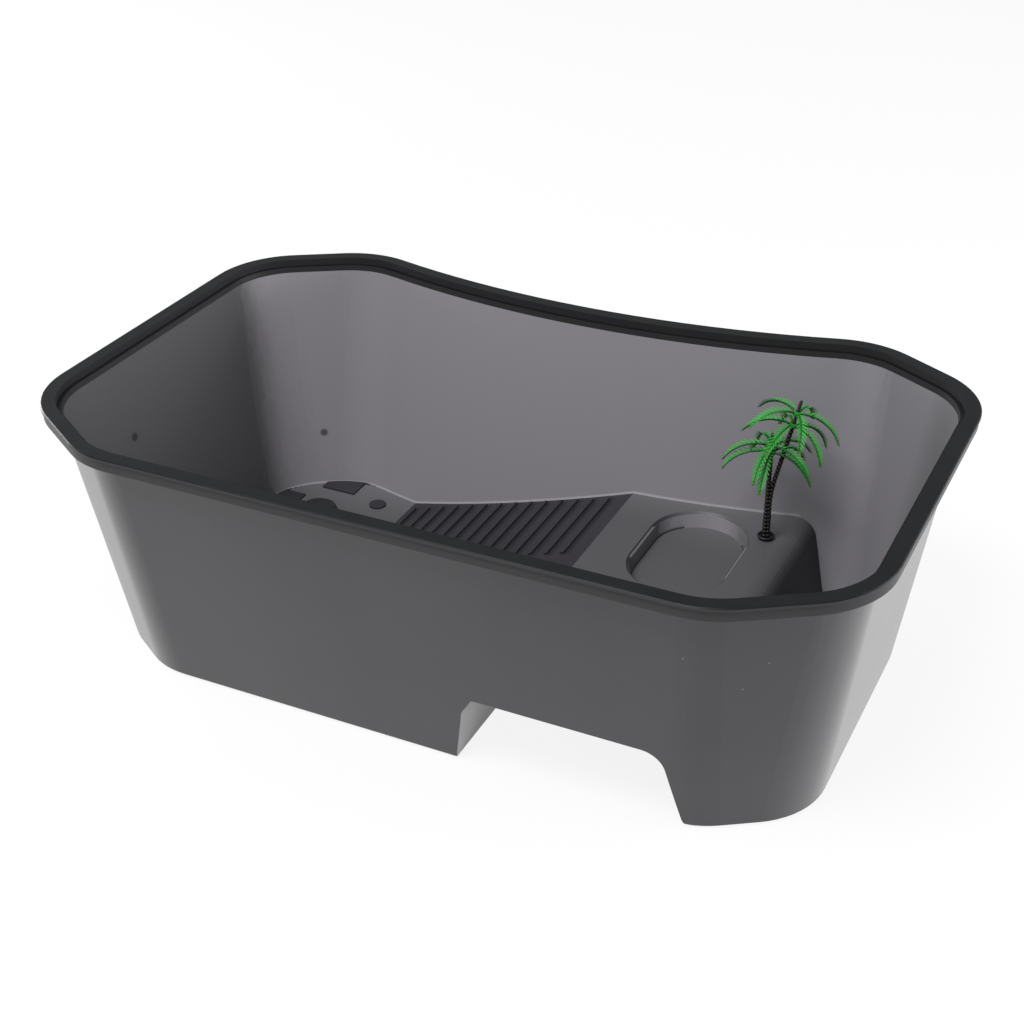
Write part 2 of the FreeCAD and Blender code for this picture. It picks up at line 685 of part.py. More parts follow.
def trunk_and_stems():
    """One trunk up to the fork, and from inside its top the two stems."""
    radius, thick = s["stem_radius"].value, s["trunk_radius"].value
    fork = s["fork_height"].value
    pieces = [ringed_run(stem_point(0, s["cup_wall"].value / 2), stem_point(0, fork), thick)]
    for tall in (False, True):
        pin = lower_drop(tall) + s["hub_height"].value / 2
        pieces.append(ringed_run(stem_fork(tall), stem_tip(tall), radius, pin))
    return pieces[0].fuse(pieces[1:])


cup_radii = dict(Radius1=s["cup_foot_radius"], Radius2=s["cup_top_radius"])
cup_outside = place(add("Part::Cone", "cup_outside", Height=s["cup_height"], **cup_radii),
                    s["palm_x"], s["palm_y"], s["platform_height"])
cup_radii = dict(Radius1=s["cup_foot_radius"] - s["cup_wall"],
                 Radius2=s["cup_top_radius"] - s["cup_wall"])
cup_inside = place(add("Part::Cone", "cup_inside", Height=s["cup_height"], **cup_radii),
                   s["palm_x"], s["palm_y"], s["platform_height"] + s["cup_wall"])
peg_length = s["palm_sleeve_drop"] + s["sheet"]
peg = place(add("Part::Cylinder", "peg", Radius=s["palm_peg_radius"],
                Height=peg_length + s["cup_wall"]),
            s["palm_x"], s["palm_y"], s["platform_height"] - peg_length)
stems = doc.addObject("Part::Feature", "stems")
stems.Shape = trunk_and_stems()
trunk = unite("trunk_shape", cut("cup", cup_outside, cup_inside), peg, stems)


# Palm leaves: each ring is one moulding, a hub with drooping leaves cut like combs.


def leaf_half_width(share):
    """How far the leaflets reach sideways at a share of the leaf's length."""
    return s["leaf_width"].value / 2 * math.sin(math.pi * (0.15 + 0.75 * share))


def leaf_plan(reach):
    """The comb outline from above, along X: a valley and a tip for each leaflet."""
    count = int(s["leaflet_count"].value)
    rib = s["leaf_rib"].value / 2
    root = s["hub_radius"].value
    step = (reach - root) / (count + 1)
    side = [V(0, rib, 0)]
    for k in range(count):
        x = root + k * step
        side += [V(x, rib, 0), V(x + 1.25 * step, rib + leaf_half_width((k + 1) / count), 0)]
    side.append(V(reach - step, rib, 0))
    other = [V(p.x, -p.y, 0) for p in reversed(side)]
    tip = V(reach + 1, 0, 0)
    return Part.Face(Part.makePolygon(side + [tip] + other + side[:1]))


def leaf():
    """One leaf along +X from the hub's axis: a drooping strip of flat lengths, met by the
    comb outline."""
    arc, sheet = s["leaf_arc"].value, s["leaf_sheet"].value
    rise_angle, fall_angle = math.radians(s["leaf_rise"].value), math.radians(s["leaf_fall"].value)
    root = V(s["hub_radius"].value / 2, 0, 0)
    centre = root + V(math.sin(rise_angle), 0, -math.cos(rise_angle)) * arc

    def on_arc(radius, slope):
        return centre + V(-math.sin(slope), 0, math.cos(slope)) * radius

    flats = int(s["leaf_flats"].value)
    slopes = [rise_angle - (rise_angle + fall_angle) * k / flats for k in range(flats + 1)]
    outer = [on_arc(arc + sheet / 2, slope) for slope in slopes]
    inner = [on_arc(arc - sheet / 2, slope) for slope in reversed(slopes)]
    width = s["leaf_width"].value + 2 * s["leaf_rib"].value
    strip = Part.Face(Part.makePolygon(outer + inner + outer[:1])).extrude(V(0, width, 0))
    strip.translate(V(0, -width / 2, 0))
    reach = outer[-1].x
    plan = leaf_plan(reach)
    depth = 2 * arc
    plan.translate(V(0, 0, -depth))
    return strip.common(plan.extrude(UP * 2 * depth))


def leaf_ring(spin):
    """A hub with its leaves, about the local Z axis, turned by the given angle."""
    height = s["hub_height"].value
    hub = Part.makeCylinder(s["hub_radius"].value, height, V(0, 0, -height / 2))
    bore = Part.makeCylinder(s["pin_radius"].value + s["crown_play"].value, 2 * height,
                             V(0, 0, -height))
    pattern = []
    for k in range(int(s["leaf_count"].value)):
        blade = leaf()
        blade.rotate(V(0, 0, 0), UP, spin + 360 * k / s["leaf_count"].value)
        pattern.append(blade)
    return hub.fuse(pattern).cut(bore)


def crown(name, tall, drop, spin):
    """A ring of leaves on its stem, so far below the tip, with room for the other stem."""
    tip, fork = stem_tip(tall), stem_fork(tall)
    direction = (tip - fork).normalize()
    seat = FreeCAD.Placement(tip - direction * drop, FreeCAD.Rotation(UP, direction))
    start, end = stem_fork(not tall), stem_tip(not tall)
    room_radius = s["stem_radius"].value + s["stem_ring"].value + s["leaf_room"].value
    room = Part.makeCylinder(room_radius, (end - start).Length, start, end - start)
    room.transformShape(seat.inverse().toMatrix())
    ring = doc.addObject("Part::Feature", name)
    ring.Shape = leaf_ring(spin).cut(room)
    ring.Placement = seat
    ring.Label = name
    return ring


tall_spin, short_spin = s["tall_spin"].value, s["short_spin"].value
crowns = [
    crown("tall_palm_upper_leaves", True, s["upper_drop"].value, tall_spin),
    crown("tall_palm_lower_leaves", True, lower_drop(True), tall_spin + s["tall_twist"].value),
    crown("short_palm_upper_leaves", False, s["upper_drop"].value, short_spin),
    crown("short_palm_lower_leaves", False, lower_drop(False),
          short_spin + s["short_twist"].value),
]

tub.Label = "tub"
stopper.Label = "drain_stopper"
trunk.Label = "palm_trunk"
sub_parts = [tub, stopper, trunk] + crowns

doc.recompute()
for obj in doc.Objects:
    for problem in ("Invalid", "Error"):
        if problem in obj.State:
            raise RuntimeError(f"{obj.Name} is {problem}")
os.makedirs("parts", exist_ok=True)
for obj in sub_parts:
    if obj.Shape.isNull() or not obj.Shape.isValid():
        raise RuntimeError(f"{obj.Label} has no valid shape")
    obj.Shape.exportStep(f"parts/{obj.Label}.step")
    box = obj.Shape.BoundBox
    print(f"{obj.Label}: {len(obj.Shape.Solids)} solid, {obj.Shape.Volume / 1000:.2f} cm3, "
          f"X {box.XMin:.1f} to {box.XMax:.1f}, Y {box.YMin:.1f} to {box.YMax:.1f}, "
          f"Z {box.ZMin:.1f} to {box.ZMax:.1f}")
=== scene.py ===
import math
import random

import bpy
from mathutils import Euler, Matrix, Vector


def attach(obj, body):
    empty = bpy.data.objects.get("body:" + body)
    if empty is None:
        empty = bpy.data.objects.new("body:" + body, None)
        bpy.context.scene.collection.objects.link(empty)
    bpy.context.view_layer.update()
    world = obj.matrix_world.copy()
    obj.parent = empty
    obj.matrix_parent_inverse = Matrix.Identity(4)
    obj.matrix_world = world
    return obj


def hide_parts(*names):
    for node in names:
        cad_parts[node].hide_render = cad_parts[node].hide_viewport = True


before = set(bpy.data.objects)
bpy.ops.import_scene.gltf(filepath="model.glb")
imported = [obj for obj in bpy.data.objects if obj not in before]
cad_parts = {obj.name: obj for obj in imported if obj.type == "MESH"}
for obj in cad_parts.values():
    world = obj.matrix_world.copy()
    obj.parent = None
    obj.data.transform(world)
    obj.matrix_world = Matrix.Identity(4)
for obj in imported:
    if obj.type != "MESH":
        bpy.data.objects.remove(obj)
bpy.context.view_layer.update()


# Tub: one vacuum-formed shell of smoke-grey plastic with tray, ribbed ramp, platform, food
# bowl and deep end, standing free. Its rim is the same sheet, turned down, thick and black.
# Inside, the light that comes through the walls is painted: the walls that face the front are
# painted lighter.

MM = 0.001

RIM_FOOT, RIM_FADE = 122.3 * MM, 0.1 * MM
RAMP_FOOT, RAMP_TOP, LAND_END = -99 * MM, 31 * MM, 114 * MM
TRAY_TOP, LAND_TOP, RAMP_HEAD = 2 * MM, 41.2 * MM, 31 * MM
PAD_SIDE_FOOT, PAD_SIDE_HEAD = 2.3 * MM, 2.6 * MM
LAND_REACH_X, LAND_REACH_Y, PAD_TOP = 132 * MM, 70 * MM, 3.2 * MM
RIB_FIRST, RIB_PITCH = 94.2 * MM, 8.82 * MM
RIBS_NEAR, RIBS_FAR, RIBS_END = 19.8 * MM, 80 * MM, 24 * MM
# Shares of the rib pitch over which the painted shade beside each rib is full and then fades
# out.
RIB_SHADOW_FULL, RIB_SHADOW_END = 0.20, 0.46
PLATFORM_FROM, PLATFORM_TO = 51 * MM, 61 * MM
BOWL_X, BOWL_Y, BOWL_REACH, BOWL_FLOOR = 76.2 * MM, 43.8 * MM, 40 * MM, 33.1 * MM
WEB_FROM, WEB_TO, WEB_TOP = 21 * MM, 32 * MM, 31.2 * MM
SEAM_CORE, SEAM_EDGE, SEAM_FADE = 0.7 * MM, 1.6 * MM, 2 * MM
# How far back the painted shadow on the land fades into painted light.
SHADOW_FADE_FROM, SHADOW_FADE_TO = 55 * MM, 100 * MM
DARK_SPOTS, DARK_SIZE = (Vector((-186, -36, 84)), Vector((-157, 89, 32))), 3 * MM
LIGHT_SPECKS = Vector((131, -113, 96)), Vector((161, -99, 94)), Vector((152, -102, 81))
SPECK_SIZE = 0.7 * MM

SMOKE, SMOKE_DARK = (0.035, 0.033, 0.039), (0.027, 0.025, 0.031)
# Painted light through the inner walls, dimmer and brighter, and the painted highlight where
# the land meets the back wall.
SMOKE_LEFT_PAINTED_LIGHT = (0.104, 0.102, 0.107)
SMOKE_BACK_PAINTED_LIGHT = (0.284, 0.275, 0.298)
SEAM_PAINTED_HIGHLIGHT = (0.50, 0.49, 0.51)
# Painted shadow and light on the land, painted shade beside the ribs and on the platform's
# end, and painted light on the notch's web.
LAND_PAINTED_SHADOW, LAND_PAINTED_LIGHT = (0.085, 0.083, 0.090), (0.132, 0.129, 0.138)
RIB_SHADOW, PLATFORM_END_SHADE = (0.012, 0.012, 0.013), (0.02, 0.02, 0.022)
WEB_PAINTED_LIGHT = (0.66, 0.65, 0.66)
SPOT_GREY, SPECK_GREY = (0.01, 0.01, 0.01), (0.16, 0.16, 0.16)
RIM_BLACK, RIM_WIPED = (0.004, 0.005, 0.006), (0.010, 0.011, 0.012)
SKIRT, LEDGE = (0.045, 0.044, 0.047), (0.030, 0.029, 0.031)
# Shares of the painted light on the right wall, the painted highlight, the painted shade
# beside the ribs and on the platform's end, and of the marks.
RIGHT_SHARE, SEAM_HIGHLIGHT_SHARE, RIB_SHADOW_SHARE, END_SHADE_SHARE, MARK_SHARE = 0.36, 0.8, 0.62, 0.25, 0.7

MERGE_GAP, FLAT_WITHIN = 0.02 * MM, math.radians(0.6)
SMOOTH_WITHIN, LEVEL, NEAR_LEVEL, LEVEL_ENOUGH = 13, 0.999, 0.970, 0.985
STEEPEST, TURNED_IN = 0.45, 0.25


class Socket:
    """A node's output, on which + - * / make the maths nodes."""

    def __init__(self, shader, link):
        self.shader, self.link = shader, link

    def _combine(self, operation, first, second):
        return self.shader.node("ShaderNodeMath", {"operation": operation},
                                {0: first, 1: second})[0]

    def __add__(self, other):
        return self._combine("ADD", self, other)

    def __radd__(self, other):
        return self._combine("ADD", other, self)

    def __sub__(self, other):
        return self._combine("SUBTRACT", self, other)

    def __rsub__(self, other):
        return self._combine("SUBTRACT", other, self)

    def __mul__(self, other):
        return self._combine("MULTIPLY", self, other)

    def __rmul__(self, other):
        return self._combine("MULTIPLY", other, self)

    def __truediv__(self, other):
        return self._combine("DIVIDE", self, other)


class Nodes:
    """An empty node tree and the one method that puts nodes into it."""

    def __init__(self, tree):
        self.tree = tree
        tree.nodes.clear()

    def node(self, kind, settings={}, inputs={}):
        """Adds a node with its settings and inputs; gives its outputs by name and number."""
        made = self.tree.nodes.new(kind)
        for key, value in settings.items():
            setattr(made, key, value)
        for key, value in inputs.items():
            self.feed(made.inputs[key], value)
        outputs = {out.name: Socket(self, out) for out in made.outputs if out.enabled}
        outputs.update({i: Socket(self, out) for i, out in enumerate(made.outputs)})
        return outputs

    def feed(self, entry, value):
        """Links a node's output to an input, or writes a plain value there."""
        if isinstance(value, Socket):
            self.tree.links.new(value.link, entry)
        elif isinstance(value, tuple) and entry.type == "RGBA":
            entry.default_value = (*value[:3], 1)
        else:
            entry.default_value = value


class Shader(Nodes):
    """A material; its colours and numbers end in one Principled surface."""

    def __init__(self, name, **constants):
        self.material = bpy.data.materials.new(name)
        self.material.use_nodes = True
        super().__init__(self.material.node_tree)
        self.constants = constants
        coordinates = self.node("ShaderNodeTexCoord")
        self.place, self.facing = coordinates["Object"], coordinates["Normal"]

    def axis(self, vector, name):
        return self.node("ShaderNodeSeparateXYZ", {}, {"Vector": vector})[name]

    def attribute(self, name):
        return self.node("ShaderNodeAttribute", {"attribute_name": name})["Fac"]

    def noise(self, scale, detail=2.0, stretch=(1, 1, 1)):
        """Noise from 0 to 1 with so many features a metre."""
        where = self.node("ShaderNodeMapping", {}, {"Vector": self.place, "Scale": stretch})
        return self.node("ShaderNodeTexNoise", {"normalize": True}, {
            "Vector": where["Vector"], "Scale": scale, "Detail": detail, "Roughness": 0.5,
        })["Fac"]

    def between(self, value, low, high, to_low=0.0, to_high=1.0):
        """The value's step from low to high, eased and kept within the new limits."""
        return self.node("ShaderNodeMapRange", {"interpolation_type": "SMOOTHSTEP"}, {
            "Value": value, "From Min": low, "From Max": high,
            "To Min": to_low, "To Max": to_high,
        })["Result"]

    def band(self, value, low, high, edge=1 * MM):
        """1 between the limits and 0 outside them, eased over an edge just inside each."""
        return self.between(value, low, low + edge) * self.between(
            value, high - edge, high, 1, 0)

    def mix(self, share, first, second):
        """Two colours, blended by a share from 0 to 1."""
        return self.node("ShaderNodeMix", {"data_type": "RGBA"}, {
            "Factor": share, 6: first, 7: second,
        })[2]

    def bump(self, height, distance, strength=1.0):
        return self.node("ShaderNodeBump", {}, {
            "Height": height, "Distance": distance, "Strength": strength,
        })["Normal"]

    def principled(self, **values):
        return self.node("ShaderNodeBsdfPrincipled", {}, {
            socket.replace("_", " "): value for socket, value in values.items()
        })["BSDF"]

    def finish(self, **links):
        surface = self.principled(**self.constants, **links)
        self.node("ShaderNodeOutputMaterial", {}, {"Surface": surface})
        return self.material


def deselect():
    bpy.ops.object.select_all(action="DESELECT")


def pick(obj):
    deselect()
    obj.select_set(True)
    bpy.context.view_layer.objects.active = obj


def modify(obj, kind, **settings):
    """Adds a modifier and applies it."""
    pick(obj)
    modifier = obj.modifiers.new(kind.title(), kind)
    for key, value in settings.items():
        setattr(modifier, key, value)
    bpy.ops.object.modifier_apply(modifier=modifier.name)


def smooth(obj, degrees):
    pick(obj)
    bpy.ops.object.shade_smooth_by_angle(angle=math.radians(degrees))


def finish_piece(obj, material, slot, *nodes):
    """Gives a piece its finish and puts it in place of its solids."""
    pick(obj)
    bpy.ops.object.transform_apply(location=True, rotation=True, scale=True)
    obj.data.materials.clear()
    obj.data.materials.append(material)
    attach(obj, "root")
    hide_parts(*nodes)


def merged_copy(node, name):
    """A solid's own mesh with its loose triangles joined and its flats made whole."""
    obj = bpy.data.objects.new(name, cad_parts[node].data.copy())
    bpy.context.collection.objects.link(obj)
    obj.matrix_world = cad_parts[node].matrix_world
    pick(obj)
    bpy.ops.object.transform_apply(location=True, rotation=True, scale=True)
    bpy.ops.object.mode_set(mode="EDIT")
    bpy.ops.mesh.select_all(action="SELECT")
    bpy.ops.mesh.remove_doubles(threshold=MERGE_GAP)
    bpy.ops.mesh.dissolve_limited(angle_limit=FLAT_WITHIN)
    bpy.ops.object.mode_set(mode="OBJECT")
    return obj


tub = merged_copy("tub", "turtle_tub")
smooth(tub, SMOOTH_WITHIN)
for face in tub.data.polygons:
    if abs(face.normal.z) > LEVEL:
        face.use_smooth = False
modify(tub, "WEIGHTED_NORMAL", keep_sharp=True, weight=100, thresh=0.02)

# The walls' inner and outer faces are told apart by the way that they look.
inner_wall = tub.data.attributes.new("inner_wall", "FLOAT", "FACE")
outer_wall = tub.data.attributes.new("outer_wall", "FLOAT", "FACE")
for face in tub.data.polygons:
    if abs(face.normal.z) > STEEPEST:
        continue
    middle = face.center
    inward = face.normal.dot(Vector((-middle.x, -middle.y, 0)).normalized())
    top = max(tub.data.vertices[k].co.z for k in face.vertices)
    in_wall = top > PAD_TOP and (abs(middle.x) > LAND_REACH_X
                                 or abs(middle.y) > LAND_REACH_Y)
    inner_wall.data[face.index].value = float(inward > TURNED_IN and in_wall)
    outer_wall.data[face.index].value = float(inward < -TURNED_IN and in_wall)

smoke = Shader("smoked_plastic", Specular_IOR_Level=0.2, Coat_Roughness=0.24, Coat_IOR=1.5)
across, depth, height = (smoke.axis(smoke.place, name) for name in "XYZ")
face_x, face_y, face_z = (smoke.axis(smoke.facing, name) for name in "XYZ")
inside = smoke.attribute("inner_wall")
outside = smoke.attribute("outer_wall")
on_rim = smoke.between(height, RIM_FOOT - RIM_FADE, RIM_FOOT + RIM_FADE)

# Outside: smoke grey, cloudy and streaked downwards as the sheet was drawn.
clouds = smoke.noise(scale=14, detail=3)
streaks = smoke.noise(scale=30, stretch=(1, 1, 0.15))
colour = smoke.mix(smoke.between(clouds + 0.4 * streaks, 0.45, 0.95), SMOKE_DARK, SMOKE)

# Painted light through the walls: most at the back, some at the right, and a painted
# highlight in a thin bright seam where the land meets the back wall.
to_window = smoke.between(-1 * face_y, 0.0, 0.6)
to_left = smoke.between(-1 * face_x, 0.2, 0.8)
to_window = to_window + to_left * (RIGHT_SHARE - to_window)
lit = smoke.mix(to_window, SMOKE_LEFT_PAINTED_LIGHT, SMOKE_BACK_PAINTED_LIGHT)
land = smoke.node("ShaderNodeMapRange", {}, {
    "Value": across, "From Min": RAMP_FOOT, "From Max": RAMP_TOP,
    "To Min": TRAY_TOP, "To Max": LAND_TOP,
})["Result"]
from_land = smoke.node("ShaderNodeMath", {"operation": "ABSOLUTE"}, {0: height - land})[0]
# Painted highlight: a thin bright line where the land meets the back wall.
seam_highlight = smoke.between(from_land, SEAM_CORE, SEAM_EDGE, 1, 0) * smoke.between(
    across, LAND_END, LAND_END + SEAM_FADE, 1, 0)
lit = smoke.mix(SEAM_HIGHLIGHT_SHARE * seam_highlight, lit, SEAM_PAINTED_HIGHLIGHT)

# Land: the level faces and the platform's rounded end are paler towards the back: painted
# shadow on the near land and painted light on the far land. Painted shade darkens a strip
# beside each rib and the platform's end, and painted light makes the notch's web pale.
pads_and_ramp = smoke.between(height, PAD_SIDE_FOOT, PAD_SIDE_HEAD) * smoke.between(
    height, RAMP_HEAD - 1 * MM, RAMP_HEAD, 1, 0)
flat = smoke.between(face_z, NEAR_LEVEL, LEVEL_ENOUGH) * (1 - pads_and_ramp)
on_platform = smoke.between(across, PLATFORM_FROM, PLATFORM_TO)
rounded = on_platform * smoke.between(face_z, 0.3, 0.95)
flat = flat + rounded * (1 - flat)
# Painted shadow on the near land, painted light towards the back.
land_shadow_and_light = smoke.mix(smoke.between(depth, SHADOW_FADE_FROM, SHADOW_FADE_TO), LAND_PAINTED_SHADOW, LAND_PAINTED_LIGHT)
colour = smoke.mix(flat, colour, land_shadow_and_light)
stripe = smoke.node("ShaderNodeMath", {"operation": "FRACT"},
                    {0: (across + RIB_FIRST) / RIB_PITCH})[0]
ribbed = smoke.band(across, RAMP_FOOT, RIBS_END) * smoke.band(depth, RIBS_NEAR, RIBS_FAR)
# Painted shade on a strip beside each rib.
rib_shadow = (ribbed * smoke.between(stripe, RIB_SHADOW_FULL, RIB_SHADOW_END, 1, 0)
          * smoke.between(face_z, 0.4, 0.6))
colour = smoke.mix(RIB_SHADOW_SHARE * rib_shadow, colour, RIB_SHADOW)
to_right = smoke.between(face_x, 0.25, 0.8) * (1 - outside)
# Painted shade on the platform's end, which faces right, away from the light.
colour = smoke.mix(END_SHADE_SHARE * to_right * on_platform, colour, PLATFORM_END_SHADE)
# Painted light: the notch's web is painted pale.
web_light = to_right * smoke.band(across, WEB_FROM, WEB_TO) * smoke.between(
    height, WEB_TOP - 2 * MM, WEB_TOP, 1, 0)
colour = smoke.mix(web_light, colour, WEB_PAINTED_LIGHT)

# The bowl's sides get the same painted light as the walls.
in_bowl = (smoke.band(across, BOWL_X - BOWL_REACH, BOWL_X + BOWL_REACH)
           * smoke.between(depth, BOWL_Y - BOWL_REACH, BOWL_Y - BOWL_REACH + 1 * MM)
           * smoke.between(height, BOWL_FLOOR, BOWL_FLOOR + 2 * MM)
           * smoke.between(height, LAND_TOP - 1 * MM, LAND_TOP, 1, 0)
           * smoke.between(face_z, 0.4, 0.8, 1, 0))
colour = smoke.mix(inside + in_bowl * (1 - inside), colour, lit)

for spots, size, grey in ((DARK_SPOTS, DARK_SIZE, SPOT_GREY),
                          (LIGHT_SPECKS, SPECK_SIZE, SPECK_GREY)):
    for spot in spots:
        gap = smoke.node("ShaderNodeVectorMath", {"operation": "DISTANCE"},
                         {0: smoke.place, 1: tuple(spot * MM)})["Value"]
        marked = smoke.between(gap, 0.4 * size, size, 1, 0)
        colour = smoke.mix(MARK_SHARE * marked, colour, grey)

# Rim: black and wiped along its top, a little greyer on its inner ledge and its skirt.
wipes = smoke.noise(scale=60, detail=3, stretch=(1, 1, 4))
rim_colour = smoke.mix(wipes, RIM_BLACK, RIM_WIPED)
rim_colour = smoke.mix(inside, rim_colour, LEDGE)
rim_colour = smoke.mix(outside, rim_colour, SKIRT)
smoke.finish(
    Base_Color=smoke.mix(on_rim, colour, rim_colour),
    Roughness=0.40 + 0.08 * (clouds - 0.5),
    Coat_Weight=0.9 * (1 - on_rim) * outside,
    Normal=smoke.bump(smoke.noise(scale=22), 0.25 * MM, strength=0.15),
)
finish_piece(tub, smoke.material, "smoked_plastic", "tub")


# Drain stopper: a disc of black rubber with a rounded lip, pressed into the tray's drain.
# Moulded in one with the hollow stem that fills the hole.

STOPPER_LIP = 0.5 * MM
RUBBER, RUBBER_BLOOM = (0.008, 0.008, 0.009), (0.017, 0.017, 0.018)

stopper = merged_copy("drain_stopper", "stopper")
modify(stopper, "BEVEL", width=STOPPER_LIP, segments=3, limit_method="ANGLE",
       angle_limit=math.radians(30))
smooth(stopper, 40)

rubber = Shader("black_rubber")
bloom = rubber.noise(scale=300, detail=3)
rubber.finish(
    Base_Color=rubber.mix(bloom, RUBBER, RUBBER_BLOOM),
    Roughness=0.48 + 0.15 * bloom,
    Normal=rubber.bump(rubber.noise(scale=3000, detail=1), 0.03 * MM, strength=0.3),
)
finish_piece(stopper, rubber.material, "black_rubber", "drain_stopper")


# Palm trunk: two thin stems of near-black brown plastic on one foot, bumpy with the scars of
# old leaves, in a round black cup. All one moulding, pegged into the platform.

PALM = Vector((106.2, 70.2, 41.2)) * MM
UP = Vector((0, 0, 1))
LEAN = Vector((math.cos(math.radians(25.9)), math.sin(math.radians(25.9)), 0))
STEM_SPREAD, FOOT_SPREAD, FOOT_SINK = 0.5 * MM, 0.85 * MM, 0.6 * MM
FORK_HEIGHT = 25 * MM
TALL_FORK = PALM + LEAN * STEM_SPREAD + UP * FORK_HEIGHT
TALL_TIP = PALM + LEAN * 12 * MM + UP * 75 * MM
SHORT_FORK = PALM - LEAN * STEM_SPREAD + UP * FORK_HEIGHT
SHORT_TIP = PALM - LEAN * STEM_SPREAD / 2 + UP * 58 * MM
STEM_RADIUS, STEM_SWELL, STEM_TAPER = 0.85 * MM, 1.12, 0.16
STEM_SIDES, BEND_EASE = 14, 7 * MM
SCAR_PITCH, SCAR_HEIGHT = 2.1 * MM, 0.42 * MM
SCAR_STEPS = (0, 0), (0.55, 0.75), (0.72, 1.0), (0.84, 0.8)
PIN_RADIUS, TALL_PIN, SHORT_PIN = 0.95 * MM, 14 * MM, 11 * MM
PIN_STEPS = (0.4 * MM, 0.9), (0.1 * MM, 0.7), (0, 0.35)
CUP_FOOT, CUP_LIP, CUP_HEIGHT, CUP_WALL = 3.5 * MM, 4.3 * MM, 2.0 * MM, 1.0 * MM
PEG_RADIUS, PEG_LENGTH, PEG_RISE = 1.6 * MM, 7.6 * MM, 0.6 * MM
CUP_EDGE, PEG_EDGE = 0.2 * MM, 0.3 * MM
BARK_FROM, BARK_TO = 43 * MM, 45 * MM
CUP_BLACK = (0.006, 0.006, 0.0065)
BARK_DARK, BARK_BROWN = (0.005, 0.004, 0.004), (0.017, 0.010, 0.009)


def bent_path(foot, fork, tip, distance):
    """The point so far along foot to fork to tip, with the bend at the fork eased."""
    lower, upper = (fork - foot).normalized(), (tip - fork).normalized()
    past = distance - (fork - foot).length
    if past < -BEND_EASE:
        return foot + lower * distance
    if past > BEND_EASE:
        return fork + upper * past
    share = (past + BEND_EASE) / (2 * BEND_EASE)
    first, last = fork - lower * BEND_EASE, fork + upper * BEND_EASE
    return first.lerp(fork, share).lerp(fork.lerp(last, share), share)


def ringed_stem(name, side, fork, tip, pin):
    """A stem drawn up from the foot ring by ring, with a smooth round pin at its top."""
    foot = PALM + side + UP * FOOT_SINK
    length = (fork - foot).length + (tip - fork).length
    ringed = length - pin
    count = round(ringed / SCAR_PITCH)
    levels = []
    for k in range(count):
        radius = STEM_RADIUS * (STEM_SWELL - STEM_TAPER * k / count)
        for share, swell in SCAR_STEPS:
            levels.append(((k + share) / count * ringed, radius + swell * SCAR_HEIGHT))
    levels.append((ringed, PIN_RADIUS))
    levels += [(length - below, PIN_RADIUS * share) for below, share in PIN_STEPS]
    deselect()
    bpy.ops.mesh.primitive_circle_add(vertices=STEM_SIDES, radius=levels[0][1],
                                      fill_type="NGON", location=foot)
    stem = bpy.context.object
    stem.name = name
    bpy.ops.object.mode_set(mode="EDIT")
    bpy.ops.mesh.select_all(action="SELECT")
    centre, now = foot, levels[0][1]
    for distance, radius in levels[1:]:
        following = bent_path(foot, fork, tip, distance)
        bpy.ops.mesh.extrude_region_move(TRANSFORM_OT_translate={"value": following - centre})
        bpy.ops.transform.resize(value=(radius / now,) * 2 + (1,), center_override=following)
        centre, now = following, radius
    bpy.ops.mesh.select_all(action="SELECT")
    bpy.ops.mesh.normals_make_consistent(inside=False)
    bpy.ops.object.mode_set(mode="OBJECT")
    return stem


def join(objects, name):
    """Makes one piece of several."""
    pick(objects[0])
    for obj in objects[1:]:
        obj.select_set(True)
    bpy.ops.object.join()
    joined = bpy.context.object
    joined.name = name
    bpy.ops.object.transform_apply(location=True, rotation=True, scale=True)
    return joined


deselect()
bpy.ops.mesh.primitive_cone_add(vertices=40, radius1=CUP_FOOT, radius2=CUP_LIP,
                                depth=CUP_HEIGHT, location=PALM + UP * CUP_HEIGHT / 2)
cup = bpy.context.object
bpy.ops.object.mode_set(mode="EDIT")
bpy.ops.mesh.select_all(action="DESELECT")
bpy.ops.object.mode_set(mode="OBJECT")
for face in cup.data.polygons:
    face.select = face.normal.z > 0.9
bpy.ops.object.mode_set(mode="EDIT")
bpy.ops.mesh.delete(type="FACE")
bpy.ops.object.mode_set(mode="OBJECT")
modify(cup, "SOLIDIFY", thickness=CUP_WALL, offset=-1)
modify(cup, "BEVEL", width=CUP_EDGE, segments=2, limit_method="ANGLE",
       angle_limit=math.radians(40))
deselect()
bpy.ops.mesh.primitive_cylinder_add(vertices=32, radius=PEG_RADIUS, depth=PEG_LENGTH,
                                    location=PALM + UP * (PEG_RISE - PEG_LENGTH / 2))
peg = bpy.context.object
modify(peg, "BEVEL", width=PEG_EDGE, segments=2, limit_method="ANGLE",
       angle_limit=math.radians(40))
short_stem = ringed_stem("short_stem", -LEAN * FOOT_SPREAD, SHORT_FORK, SHORT_TIP, SHORT_PIN)
tall_stem = ringed_stem("tall_stem", LEAN * FOOT_SPREAD, TALL_FORK, TALL_TIP, TALL_PIN)
trunk = join([short_stem, tall_stem, cup, peg], "palm_stems")
smooth(trunk, 50)

bark = Shader("trunk_plastic")
patches = bark.noise(scale=420, detail=3)
stem_brown = bark.mix(patches, BARK_DARK, BARK_BROWN)
above_cup = bark.between(bark.axis(bark.place, "Z"), BARK_FROM, BARK_TO)
bark.finish(
    Base_Color=bark.mix(above_cup, CUP_BLACK, stem_brown),
    Roughness=0.38 + 0.2 * patches,
    Normal=bark.bump(bark.noise(scale=1900), 0.05 * MM, strength=0.4),
)
finish_piece(trunk, bark.material, "trunk_plastic", "palm_trunk")


# Palm leaves: four rings of soft green plastic threaded on the stems, each moulded in one
# with its hub. Every leaf droops, folds along its rib and is cut into fine leaflets.

